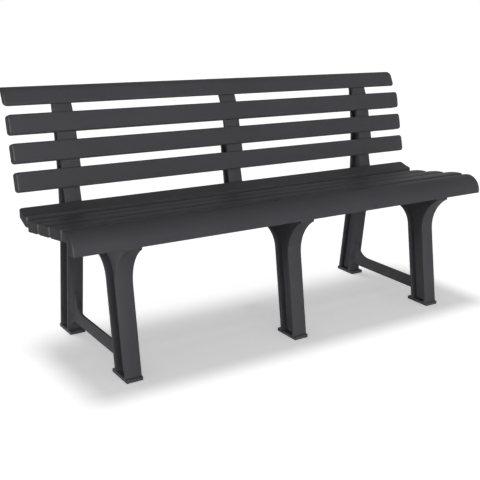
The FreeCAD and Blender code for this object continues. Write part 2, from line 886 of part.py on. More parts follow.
def nose_slat(name):
    """The front slat, which curls over the tips of the bearers."""
    y, z = on_seat_plane(nose_rear())
    front, bottom = -half(S.bench_depth) - y, below_the_seat(S.nose_drop) - z
    skin = [
        Side(0, 0, 90, S.edge_rounding),
        Side(0, S.nose_height, 180, S.nose_radius),
        Side(front, 0, -90).tipped(S.seat_rise),
    ]
    lip = Side(0, bottom, 0).tipped(S.seat_rise)
    inner = Side(front + S.nose_lip, 0, 90).tipped(S.seat_rise)
    mouth = [lip, inner.joined(S.nose_hollow_radius), Side(0, 0, 0)]
    ribs = [
        lip.inset(S.nose_rib_clear),
        inner.inset(S.rib_clear, S.nose_hollow_radius),
        Side(0, S.rib_clear, 0),
    ]
    body = channel(name, skin, mouth, [lip.inset(-CUT_OVER)], ribs)
    add_bosses(body, "XY_Plane", (0, 0, 0), -S.nose_screw, S.nose_height - S.boss_skin,
               pilot_depth(S.flange_wall))
    place(body, y, z, S.seat_rise)
    return body


def rear_slat(name):
    """The rear seat slat, hollowed on top and tipped up on its ramp."""
    tilt = -S.rear_slat_slope
    back = Side(S.rear_slat_depth, S.rear_slat_back, 90).tipped(tilt)
    top = Side(S.rear_slat_depth, S.rear_slat_back, 180 + S.rear_top_slope).tipped(tilt)
    front_top = Side(0, S.rear_slat_front, 180 + S.front_top_slope).tipped(tilt)
    front = Side(0, 0, 270).tipped(tilt)
    skin = [back.joined(S.edge_rounding), top.joined(S.hollow_radius),
            front_top.joined(S.edge_rounding), front]
    body = channel(name, skin, [Side(0, 0, 0)], [Side(0, -CUT_OVER, 0)], [Side(0, S.rib_clear, 0)])
    rise = half(S.rear_slat_depth) / cosine(S.rear_slat_slope)
    height = top.z + (top.y - rise) * tangent(S.rear_slat_slope - S.rear_top_slope) - S.boss_skin
    add_bosses(body, "XY_Plane", (0, 0, 0), rise, height, pilot_depth(S.flange_wall))
    place(body, *rear_slat_corner(), tilt)
    return body


def back_slat(name, index):
    """A back slat, open to the rear."""
    fall, radius = crown(S.back_slat_height, S.back_crown_slope)
    skin = [
        Side(0, S.back_slat_height, 180, S.edge_rounding),
        Side(fall, S.back_slat_height, 270 - S.back_crown_slope, radius),
        Side(fall, 0, 270 + S.back_crown_slope, S.edge_rounding),
        Side(0, 0, 0),
    ]
    rear = Side(S.back_slat_depth, 0, 90)
    body = channel(name, skin, [rear], [rear.inset(-CUT_OVER)], [rear.inset(S.rib_clear)])
    lowest = index == SLAT_COUNT - 1
    bottom = half(S.back_slat_height) if lowest else -CUT_OVER
    straddle(body, S.strap_inset, bottom, S.back_slat_height + CUT_OVER)
    add_bosses(body, "XZ_Plane", (0, 0, -S.strap_inset), half(S.back_slat_height),
               S.strap_inset - S.boss_skin, pilot_depth(S.strap_wall))
    place(body, *in_back(back_slat_bottom(index), 0), S.back_lean)
    return body


def top_rail(name):
    """The top rail, rolled over the heads of the frames and open to the rear."""
    top = Side(0, S.rail_height, 180).tipped(S.rail_lean)
    bottom = Side(0, 0, 0).tipped(S.rail_lean)
    roll = (S.rail_depth / cosine(S.rail_lean) - S.rail_flat) / tangent(half(90 - S.rail_lean))
    skin = [top.joined(roll), Side(0, 0, 270, S.edge_rounding), bottom]
    rear = Side(S.rail_depth, 0, 90)
    body = channel(name, skin, [rear], [rear.inset(-CUT_OVER)], [rear.inset(S.rib_clear)])
    straddle(body, S.rail_inset, -CUT_OVER, S.rail_screw)
    add_bosses(body, "XZ_Plane", (0, 0, -S.rail_inset), S.rail_screw,
               S.rail_inset - S.boss_skin, pilot_depth(S.strap_wall))
    place(body, *rail_corner(), S.rail_lean)
    return body


# Screws

def screw_set(name, role, offset, up, frame):
    """The six screws of a slat, drawn where they are driven: shanks, domed heads and tips."""
    body = new_body(name)
    body.AllowCompound = True
    places = [(x, up) for x in screw_offsets(FRAMES.values())]
    sketch = draw_circles(new_sketch(body, "ShankSketch", role, None, offset), places, S.shank_diameter)
    pad(body, "Shanks", sketch, S.screw_length, symmetric=False)
    sketch = draw_circles(new_sketch(body, "HeadSketch", role, None, offset), places, S.head_diameter)
    heads = pad(body, "Heads", sketch, S.head_height, symmetric=False)
    heads.Reversed = True
    round_heads(body)
    place(body, *frame)
    return body


def round_heads(body):
    """Domes the outer rims of the heads."""
    document.recompute()
    rims = []
    for number, edge in enumerate(body.Shape.Edges, start=1):
        if isinstance(edge.Curve, Part.Circle):
            wide = abs(edge.Curve.Radius - half(S.head_diameter).value) < 1e-4
            if wide and is_outer_rim(body, edge):
                rims.append(f"Edge{number}")
    round_edges(body, "DomedHeads", rims, half(S.head_height))


def is_outer_rim(body, edge):
    """Whether a circle lies at the driven end of the screws."""
    box, centre = body.Shape.BoundBox, edge.Curve.Center
    if box.YLength > box.ZLength:
        return abs(centre.y - box.YMax) < 1e-4
    return abs(centre.z - box.ZMin) < 1e-4


# The whole bench

def make_slats():
    """Every slat with its screws, which are placed in the same frame as the slat."""
    seat_heads = (0, 0, -S.flange_wall)
    back_heads = (0, 0, -(S.strap_inset + S.strap_wall))
    rail_heads = (0, 0, -(S.rail_inset + S.strap_wall))
    nose_slat("front_nose_slat")
    nose_frame = (*on_seat_plane(nose_rear()), S.seat_rise)
    screw_set("front_nose_slat_screws", "XY_Plane", seat_heads, -S.nose_screw, nose_frame)
    for index in range(SLAT_COUNT):
        name = f"seat_slat_{index + 1}"
        seat_slat(name, index)
        slat_frame = (*on_seat_plane(seat_slat_middle(index)), S.seat_rise)
        screw_set(f"{name}_screws", "XY_Plane", seat_heads, 0, slat_frame)
    rear_slat("seat_rear_slat")
    rise = half(S.rear_slat_depth) / cosine(S.rear_slat_slope)
    ramp_frame = (*rear_slat_corner(), -S.rear_slat_slope)
    screw_set("seat_rear_slat_screws", "XY_Plane", seat_heads, rise, ramp_frame)
    for index, where in enumerate(("upper", "middle", "lower")):
        name = f"back_slat_{where}"
        back_slat(name, index)
        slat_frame = (*in_back(back_slat_bottom(index), 0), S.back_lean)
        screw_set(f"{name}_screws", "XZ_Plane", back_heads, half(S.back_slat_height), slat_frame)
    top_rail("top_rail")
    screw_set("top_rail_screws", "XZ_Plane", rail_heads, S.rail_screw, (*rail_corner(), S.rail_lean))


def write_pieces():
    """Checks every piece and writes it under its own name."""
    os.makedirs("parts", exist_ok=True)
    for item in document.Objects:
        if "Invalid" in item.State or "Error" in item.State:
            raise ValueError(f"{item.Label} did not build: {item.State}")
    for body in document.findObjects("PartDesign::Body"):
        if body.Shape.isNull() or not body.Shape.isValid() or not body.Shape.Solids:
            raise ValueError(f"{body.Label} is not a sound solid")
        body.Shape.exportStep(f"parts/{body.Label}.step")


for frame_name, frame_along in FRAMES.items():
    make_frame(frame_name, frame_along)
make_slats()
document.recompute()
write_pieces()
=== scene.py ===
"""Looks of a slatted garden bench in anthracite moulded plastic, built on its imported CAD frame."""

import logging
import math
from dataclasses import dataclass, field
from enum import Enum
from typing import Any, Mapping, Sequence

import bmesh
import bpy
from mathutils import Matrix, Vector

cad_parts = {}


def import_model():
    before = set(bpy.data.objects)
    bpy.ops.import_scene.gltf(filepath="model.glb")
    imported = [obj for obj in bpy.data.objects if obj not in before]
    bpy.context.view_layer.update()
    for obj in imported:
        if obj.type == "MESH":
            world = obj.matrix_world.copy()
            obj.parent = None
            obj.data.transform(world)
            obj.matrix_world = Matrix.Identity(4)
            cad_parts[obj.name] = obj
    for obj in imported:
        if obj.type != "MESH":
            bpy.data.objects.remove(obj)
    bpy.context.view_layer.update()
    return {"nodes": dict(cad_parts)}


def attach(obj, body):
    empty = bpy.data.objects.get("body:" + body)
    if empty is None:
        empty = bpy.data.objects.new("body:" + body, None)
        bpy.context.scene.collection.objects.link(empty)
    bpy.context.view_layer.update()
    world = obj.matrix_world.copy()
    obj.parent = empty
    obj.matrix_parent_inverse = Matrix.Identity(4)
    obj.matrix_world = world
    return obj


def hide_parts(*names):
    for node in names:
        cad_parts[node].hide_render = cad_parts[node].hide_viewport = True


LOG = logging.getLogger("bench")

FRAME_NODES: tuple[str, ...] = ("left_frame", "middle_frame", "right_frame")
SLAT_NODES: tuple[str, ...] = (
    "front_nose_slat", "seat_slat_1", "seat_slat_2", "seat_slat_3", "seat_rear_slat",
    "back_slat_lower", "back_slat_middle", "back_slat_upper", "top_rail",
)
SCREW_NODES: tuple[str, ...] = tuple(f"{slat}_screws" for slat in SLAT_NODES)

# Corners of a CAD mesh that lie closer than this are one corner, in metres
MERGE_DISTANCE: float = 2e-6
# Width of the photograph's frame, in pixels
FRAME_PX: float = 480.0
WHITE: tuple[float, float, float, float] = (1.0, 1.0, 1.0, 1.0)

Colour = tuple[float, float, float]
Direction = tuple[float, float, float]
Seat = tuple[Vector, Vector]
MaterialParts = tuple[bpy.types.Material, bpy.types.NodeTree, bpy.types.Node]


class Slot(Enum):
    """Names of the materials."""

    FRAME = "frame_plastic"
    SLAT = "slat_plastic"
    SCREW = "screw_steel"


class Effect(Enum):
    """Node groups: two effects that the plastics share, and the tree that sets the screws."""

    GRAIN = "moulded_grain"
    # This group also paints a sheen on convex edges.
    WEAR = "wear_and_dust"
    SCREWS = "set_screws"


# Node-tree helpers


def feed(tree: bpy.types.NodeTree, target: bpy.types.Node, inputs: Mapping[Any, Any]) -> None:
    """Links or sets inputs of a node.

    Args:
        tree: The node tree.
        target: Node whose inputs are fed.
        inputs: Socket or plain value for each input, by the input's name or number.
    """
    for key, value in inputs.items():
        if isinstance(value, bpy.types.NodeSocket):
            tree.links.new(value, target.inputs[key])
        else:
            target.inputs[key].default_value = value


def node(tree: bpy.types.NodeTree, kind: str, inputs: Mapping[Any, Any] | None = None,
         **settings: Any) -> bpy.types.Node:
    """Adds a node to a tree.

    Args:
        tree: The node tree that gets the node.
        kind: Blender's identifier of the node type.
        inputs: Socket or plain value for each input that isn't left at its default.
        **settings: Properties to set on the node.

    Returns:
        The new node.
    """
    made = tree.nodes.new(kind)
    for name, value in settings.items():
        setattr(made, name, value)
    feed(tree, made, inputs or {})
    return made


def new_group(name: str, inputs: dict[str, tuple[str, Any]], outputs: dict[str, str],
              kind: str = "ShaderNodeTree") -> tuple[bpy.types.NodeTree, Any, Any]:
    """Makes a node group with named sockets.

    Args:
        name: Name of the group.
        inputs: Socket type and default value of each input.
        outputs: Socket type of each output.
        kind: Type of the node tree.

    Returns:
        The tree, the outputs of its input node, and its output node.
    """
    tree = bpy.data.node_groups.new(name, kind)
    for label, (socket_type, default) in inputs.items():
        socket = tree.interface.new_socket(label, in_out="INPUT", socket_type=socket_type)
        if default is not None:
            socket.default_value = default
    for label, socket_type in outputs.items():
        tree.interface.new_socket(label, in_out="OUTPUT", socket_type=socket_type)
    return tree, tree.nodes.new("NodeGroupInput").outputs, tree.nodes.new("NodeGroupOutput")


def math_node(tree: bpy.types.NodeTree, operation: str, *terms: Any) -> bpy.types.NodeSocket:
    """Adds a Math node.

    Args:
        tree: The node tree.
        operation: Blender's name of the operation.
        *terms: Socket or number for each input.

    Returns:
        The node's output socket.
    """
    return node(tree, "ShaderNodeMath", dict(enumerate(terms)), operation=operation).outputs[0]


def noise(tree: bpy.types.NodeTree, place: bpy.types.NodeSocket, scale: Any, detail: float,
          roughness: float = 0.5) -> bpy.types.NodeSocket:
    """Adds a noise texture.

    Args:
        tree: The node tree.
        place: Socket with the coordinates.
        scale: Features per metre, as a number or a socket.
        detail: Octaves of finer noise.
        roughness: Strength of the finer octaves.

    Returns:
        The noise's factor socket.
    """
    inputs = {"Vector": place, "Scale": scale, "Detail": detail, "Roughness": roughness}
    return node(tree, "ShaderNodeTexNoise", inputs).outputs["Fac"]


def ramp(tree: bpy.types.NodeTree, value: bpy.types.NodeSocket, low: float,
         high: float) -> bpy.types.NodeSocket:
    """Maps a value from a range to 0 to 1 and clamps it.

    Args:
        tree: The node tree.
        value: Socket with the value.
        low: Value that gives 0.
        high: Value that gives 1.

    Returns:
        The mapped value's socket.
    """
    inputs = {"Value": value, "From Min": low, "From Max": high}
    return node(tree, "ShaderNodeMapRange", inputs, clamp=True).outputs["Result"]


def mixed(tree: bpy.types.NodeTree, factor: Any, under: Any, over: Any,
          blend_type: str = "MIX") -> bpy.types.NodeSocket:
    """Lays one colour over another.

    Args:
        tree: The node tree.
        factor: How much of the upper colour shows, as a number or a socket.
        under: Lower colour, as a value or a socket.
        over: Upper colour, as a value or a socket.
        blend_type: Blender's name of the way of mixing.

    Returns:
        The mixed colour's socket.
    """
    inputs = {"Factor": factor, "A": under, "B": over}
    made = node(tree, "ShaderNodeMix", inputs, data_type="RGBA", blend_type=blend_type)
    return made.outputs["Result"]


def bump(tree: bpy.types.NodeTree, height: bpy.types.NodeSocket, strength: float,
         distance: float) -> bpy.types.NodeSocket:
    """Adds a Bump node.

    Args:
        tree: The node tree.
        height: Socket with the height.
        strength: Strength of the relief.
        distance: Depth of the relief, in metres.

    Returns:
        The normal's socket.
    """
    inputs = {"Height": height, "Strength": strength, "Distance": distance}
    return node(tree, "ShaderNodeBump", inputs).outputs["Normal"]


def object_place(tree: bpy.types.NodeTree) -> bpy.types.NodeSocket:
    """Object coordinates in a tree."""
    return node(tree, "ShaderNodeTexCoord").outputs["Object"]


def blank_material(name: str) -> MaterialParts:
    """Makes a material with a shader that nothing feeds yet.

    Args:
        name: Name of the material.

    Returns:
        The material, its node tree and its shader node.
    """
    material = bpy.data.materials.new(name)
    material.use_nodes = True
    tree = material.node_tree
    return material, tree, tree.nodes["Principled BSDF"]


# Shared effects


@dataclass(frozen=True)
class Patches:
    """Irregular patches that fade from 0 to 1.

    Attributes:
        scale: Patches per metre.
        detail: Octaves of finer patches.
        low: Noise value that gives 0.
        high: Noise value that gives 1.
        roughness: Strength of the finer octaves.
    """

    scale: float
    detail: float
    low: float
    high: float
    roughness: float = 0.5

    def mask(self, tree: bpy.types.NodeTree, place: bpy.types.NodeSocket) -> bpy.types.NodeSocket:
        """Adds the patches to a tree.

        Args:
            tree: The node tree.
            place: Socket with the coordinates.

        Returns:
            Socket with the patches' mask.
        """
        value = noise(tree, place, self.scale, self.detail, self.roughness)
        return ramp(tree, value, self.low, self.high)


@dataclass(frozen=True)
class MouldGrain:
    """Fine spark-eroded grain of the mould, with faint flow marks along the bench.

    Attributes:
        scale: Grain marks per metre.
        detail: Octaves of the grain.
        flow_scale: Flow marks per metre.
        flow_detail: Octaves of the flow marks.
        flow_stretch: Scale of the flow marks along, across and up.
        flow_height: Height of the flow marks as a share of the grain's.
        mean_flow: Noise value of a flow mark that leaves the roughness as it is.
        roughness: Mean roughness, where a material doesn't give its own.
        spread: Change of the roughness over the flow marks.
    """

    scale: float = 900.0
    detail: float = 2.0
    flow_scale: float = 6.0
    flow_detail: float = 3.0
    flow_stretch: tuple[float, float, float] = (0.25, 1.0, 1.0)
    flow_height: float = 0.6
    mean_flow: float = 0.5
    roughness: float = 0.5
    spread: float = 0.06

    def build(self) -> None:
        """Makes the node group, which puts out a bump height and a roughness."""
        tree, given, result = new_group(
            Effect.GRAIN.value,
            {"Grain Scale": ("NodeSocketFloat", self.scale),
             "Flow Scale": ("NodeSocketFloat", self.flow_scale),
             "Roughness": ("NodeSocketFloat", self.roughness),
             "Spread": ("NodeSocketFloat", self.spread)},
            {"Height": "NodeSocketFloat", "Roughness": "NodeSocketFloat"})
        place = object_place(tree)
        fine = noise(tree, place, given["Grain Scale"], self.detail)
        stretch = node(tree, "ShaderNodeMapping", {"Vector": place, "Scale": self.flow_stretch})
        flow = noise(tree, stretch.outputs["Vector"], given["Flow Scale"], self.flow_detail)
        centred = math_node(tree, "SUBTRACT", flow, self.mean_flow)
        feed(tree, result, {
            "Height": math_node(tree, "MULTIPLY_ADD", flow, self.flow_height, fine),
            "Roughness": math_node(tree, "MULTIPLY_ADD", centred, given["Spread"],
                                   given["Roughness"]),
        })


@dataclass(frozen=True)
class WearDustAndEdgeSheen:
    """Slow tone changes, lighter convex edges and settled dust; the lighter edges are partly rubbed
    wear and partly painted edge sheen.

    Attributes:
        edge_start: Pointiness at which an edge starts to be lightened, as wear and painted sheen.
        edge_full: Pointiness at which it is lightened fully.
        breaks: What breaks the lighter edges up.
        level_start: Upward part of the normal at which dust starts to stay.
        level_full: Upward part at which it stays fully.
        drifts: Where the dust gathers.
        dust: Linear colour of the dust.
        tones: Slow changes of tone.
        tone_depth: Strength of the tone changes.
    """

    edge_start: float = 0.53
    edge_full: float = 0.6
    breaks: Patches = Patches(scale=60.0, detail=4.0, low=0.42, high=0.62, roughness=0.6)
    level_start: float = 0.55
    level_full: float = 1.0
    drifts: Patches = Patches(scale=9.0, detail=5.0, low=0.35, high=0.75, roughness=0.62)
    dust: Colour = (0.3, 0.28, 0.25)
    tones: Patches = Patches(scale=2.5, detail=2.0, low=0.2, high=0.8)
    tone_depth: float = 0.2

    def build(self) -> None:
        """Makes the node group, which puts out a colour with painted edge sheen and a dust mask."""
        tree, given, result = new_group(
            Effect.WEAR.value,
            {"Base": ("NodeSocketColor", WHITE),
             "Rubbed": ("NodeSocketColor", WHITE),
             "Dust": ("NodeSocketColor", (*self.dust, 1.0)),
             "Rub": ("NodeSocketFloat", 0.0),
             "Settled": ("NodeSocketFloat", 0.0)},
            {"Color": "NodeSocketColor", "Dust Mask": "NodeSocketFloat"})
        place = object_place(tree)
        surface = node(tree, "ShaderNodeNewGeometry").outputs
        # Convex edges are lightened: partly rubbed wear, partly painted edge sheen.
        edge = ramp(tree, surface["Pointiness"], self.edge_start, self.edge_full)
        broken = math_node(tree, "MULTIPLY", edge, self.breaks.mask(tree, place))
        edge_wear_and_sheen = math_node(tree, "MULTIPLY", broken, given["Rub"])
        normal = node(tree, "ShaderNodeSeparateXYZ", {"Vector": surface["Normal"]}).outputs
        level = ramp(tree, normal["Z"], self.level_start, self.level_full)
        gathered = math_node(tree, "MULTIPLY", level, self.drifts.mask(tree, place))
        dust = math_node(tree, "MULTIPLY", gathered, given["Settled"])
        tone = self.tones.mask(tree, place)
        grey = node(tree, "ShaderNodeCombineColor", dict.fromkeys(("Red", "Green", "Blue"), tone))
        colour = mixed(tree, self.tone_depth, given["Base"], grey.outputs["Color"], "MULTIPLY")
        colour = mixed(tree, edge_wear_and_sheen, colour, given["Rubbed"])
        colour = mixed(tree, dust, colour, given["Dust"])
        feed(tree, result, {"Color": colour, "Dust Mask": dust})


def shared(tree: bpy.types.NodeTree, effect: Effect, inputs: Mapping[str, Any]) -> Any:
    """Places a shared effect in a material.

    Args:
        tree: The material's node tree.
        effect: The effect.
        inputs: The material's own values for it.

    Returns:
        The effect's outputs.
    """
    group = bpy.data.node_groups[effect.value]
    return node(tree, "ShaderNodeGroup", inputs, node_tree=group).outputs


# Finishes


@dataclass(frozen=True)
class PlasticFinish:
    """Satin moulded plastic, coloured through.

    Attributes:
        slot: Gives the material its name.
        colour: Linear colour of the plastic.
        edge_wear_and_sheen: Lighter colour of a convex edge, partly rubbed wear and partly painted
            edge sheen.
        grain_depth: Strength of the mould grain.
        grain_height: Depth of the mould grain, in metres.
        roughness: Mean roughness.
        dust_roughness: Roughness that full dust adds.
        dust: Share of settled dust on level faces.
        edge_wear_and_sheen_strength: Strength of the lighter edges, which are partly rubbed wear and
            partly painted sheen.
        ior: Refractive index of the plastic.
        gloss: Strength of the surface's own reflection.
    """

    slot: Slot
    colour: Colour
    edge_wear_and_sheen: Colour
    grain_depth: float
    grain_height: float = 0.0002
    roughness: float = 0.55
    dust_roughness: float = 0.4
    dust: float = 0.008
    edge_wear_and_sheen_strength: float = 0.4
    ior: float = 1.49
    gloss: float = 0.04

    def build(self) -> bpy.types.Material:
        """Makes the material.

        Returns:
            A procedural material on Object coordinates.
        """
        material, tree, shader = blank_material(self.slot.value)
        grain = shared(tree, Effect.GRAIN, {"Roughness": self.roughness})
        # The shared group lays painted sheen on convex edges along with wear and dust.
        wear_dust_and_sheen = shared(tree, Effect.WEAR, {
            "Base": (*self.colour, 1.0), "Rubbed": (*self.edge_wear_and_sheen, 1.0), "Rub": self.edge_wear_and_sheen_strength,
            "Settled": self.dust})
        feed(tree, shader, {
            "Base Color": wear_dust_and_sheen["Color"],
            "Roughness": math_node(tree, "MULTIPLY_ADD", wear_dust_and_sheen["Dust Mask"], self.dust_roughness,
                                   grain["Roughness"]),
            "IOR": self.ior,
            "Specular IOR Level": self.gloss,
            "Normal": bump(tree, grain["Height"], self.grain_depth, self.grain_height),
        })
        return material


@dataclass(frozen=True)
class SteelFinish:
    """Stainless steel of the screws, with turned marks and a trace of grime.

    Attributes:
        slot: Gives the material its name.
        colour: Linear colour of the metal.
        grime: Colour of the grime.
        stains: Where the grime sits.
        grime_cover: Share of the grime's colour in a stain.
        roughness: Roughness of the clean metal.
        grime_roughness: Roughness that a stain adds.
        mark_scale: Turned marks per metre.
        mark_detail: Octaves of the turned marks.
        mark_depth: Strength of the turned marks.
        mark_height: Depth of the turned marks, in metres.
    """

    slot: Slot = Slot.SCREW
    colour: Colour = (0.56, 0.57, 0.58)
    grime: Colour = (0.09, 0.08, 0.07)
    stains: Patches = Patches(scale=420.0, detail=4.0, low=0.5, high=0.72)
    grime_cover: float = 0.5
    roughness: float = 0.32
    grime_roughness: float = 0.25
    mark_scale: float = 2600.0
    mark_detail: float = 2.0
    mark_depth: float = 0.15
    mark_height: float = 0.0001

    def build(self) -> bpy.types.Material:
        """Makes the material.

        Returns:
            A procedural metal on Object coordinates.
        """
        material, tree, shader = blank_material(self.slot.value)
        place = object_place(tree)
        stain = self.stains.mask(tree, place)
        cover = math_node(tree, "MULTIPLY", stain, self.grime_cover)
        marks = noise(tree, place, self.mark_scale, self.mark_detail)
        feed(tree, shader, {
            "Base Color": mixed(tree, cover, (*self.colour, 1.0), (*self.grime, 1.0)),
            "Metallic": 1.0,
            "Roughness": math_node(tree, "MULTIPLY_ADD", stain, self.grime_roughness,
                                   self.roughness),
            "Normal": bump(tree, marks, self.mark_depth, self.mark_height),
        })
        return material


# Mesh helpers


def add_object(name: str, data: Any) -> bpy.types.Object:
    """Puts an object in the scene.

    Args:
        name: Name of the object.
        data: Its mesh, lamp or camera.

    Returns:
        The new object.
    """
    made = bpy.data.objects.new(name, data)
    bpy.context.scene.collection.objects.link(made)
    return made


def stand_in(cad_node: str, mesh: bpy.types.Mesh, material: bpy.types.Material) -> bpy.types.Object:
    """Puts a finished mesh in the scene in place of a CAD node.

    Args:
        cad_node: CAD node that the piece stands for.
        mesh: The piece's mesh, placed in metres and named as the piece will be.
        material: Its finish.

    Returns:
        The piece.
    """
    mesh.materials.clear()
    mesh.materials.append(material)
    piece = add_object(mesh.name, mesh)
    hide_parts(cad_node)
    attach(piece, "root")
    LOG.info("%s: %d faces", piece.name, len(mesh.polygons))
    return piece


def baked(obj: bpy.types.Object, name: str) -> bpy.types.Mesh:
    """The object's evaluated mesh as a plain one, with the object removed.

    Args:
        obj: Object whose modifiers are applied.
        name: Name of the new mesh.

    Returns:
        The plain mesh.
    """
    bpy.context.view_layer.update()
    evaluated = obj.evaluated_get(bpy.context.evaluated_depsgraph_get())
    mesh = bpy.data.meshes.new_from_object(evaluated)
    mesh.name = name
    bpy.data.objects.remove(obj)
    return mesh


def smooth(mesh: bpy.types.Mesh, sharp_angle: float) -> None:
    """Shades a mesh smooth, except over its sharp edges.

    Args:
        mesh: The mesh.
        sharp_angle: Edges steeper than this stay sharp, in degrees.
    """
    mesh.set_sharp_from_angle(angle=math.radians(sharp_angle))
    mesh.polygons.foreach_set("use_smooth", [True] * len(mesh.polygons))


def merged(source: bpy.types.Object) -> bmesh.types.BMesh:
    """A copy of a CAD node's mesh with its loose triangles joined at their corners.

    Args:
        source: The CAD node's object.

    Returns:
        The joined copy, which the caller frees.
    """
    work = bmesh.new()
    work.from_mesh(source.data)
    bmesh.ops.remove_doubles(work, verts=work.verts, dist=MERGE_DISTANCE)
    return work


# Sub-assemblies


@dataclass
class Mouldings:
    """Plastic mouldings that share one finish, with the small radii that a mould leaves.

    Attributes:
        nodes: CAD nodes that are dressed.
        finish: Their plastic.
        edge_radius: Radius of the moulded edges, in metres.
        segments: Steps across an edge radius.
        sharp_angle: Edges steeper than this are rounded, in degrees.
        flat_angle: Triangles that meet at less than this are joined to one face, in degrees.
        made: The finished pieces.
    """

    nodes: tuple[str, ...]
    finish: PlasticFinish
    edge_radius: float
    segments: int = 3
    sharp_angle: float = 28.0
    flat_angle: float = 0.05
    made: list[bpy.types.Object] = field(default_factory=list)

    def build(self, cad: dict[str, bpy.types.Object]) -> None:
        """Dresses each node with a rounded copy.

        Args:
            cad: CAD objects by node name.
        """
        material = self.finish.build()
        for name in self.nodes:
            mesh = self.rounded(cad[name], f"{name}_moulding")
            self.made.append(stand_in(name, mesh, material))

    def rounded(self, source: bpy.types.Object, name: str) -> bpy.types.Mesh:
        """A copy of a CAD mesh with its sharp edges rounded.

        Args:
            source: The CAD node's object.
            name: Name of the new mesh.

        Returns:
            The rounded mesh.
        """
        piece = add_object("work", self.plain_copy(source))
        bevel = piece.modifiers.new("edges", "BEVEL")
        bevel.width = self.edge_radius
        bevel.segments = self.segments
        bevel.limit_method = "ANGLE"
        bevel.angle_limit = math.radians(self.sharp_angle)
        bevel.harden_normals = False
        bevel.use_clamp_overlap = True
        bevel.miter_outer = "MITER_ARC"
        mesh = baked(piece, name)
        smooth(mesh, self.sharp_angle)
        return mesh

    def plain_copy(self, source: bpy.types.Object) -> bpy.types.Mesh:
        """A copy of a CAD mesh with its triangles joined into clean faces.

        Args:
            source: The CAD node's object.

        Returns:
            The joined mesh.
        """
        mesh = source.data.copy()
        work = merged(source)
        bmesh.ops.dissolve_limit(work, angle_limit=math.radians(self.flat_angle),
                                 verts=work.verts, edges=work.edges)
        bmesh.ops.recalc_face_normals(work, faces=work.faces)
        work.to_mesh(mesh)
        work.free()
        return mesh


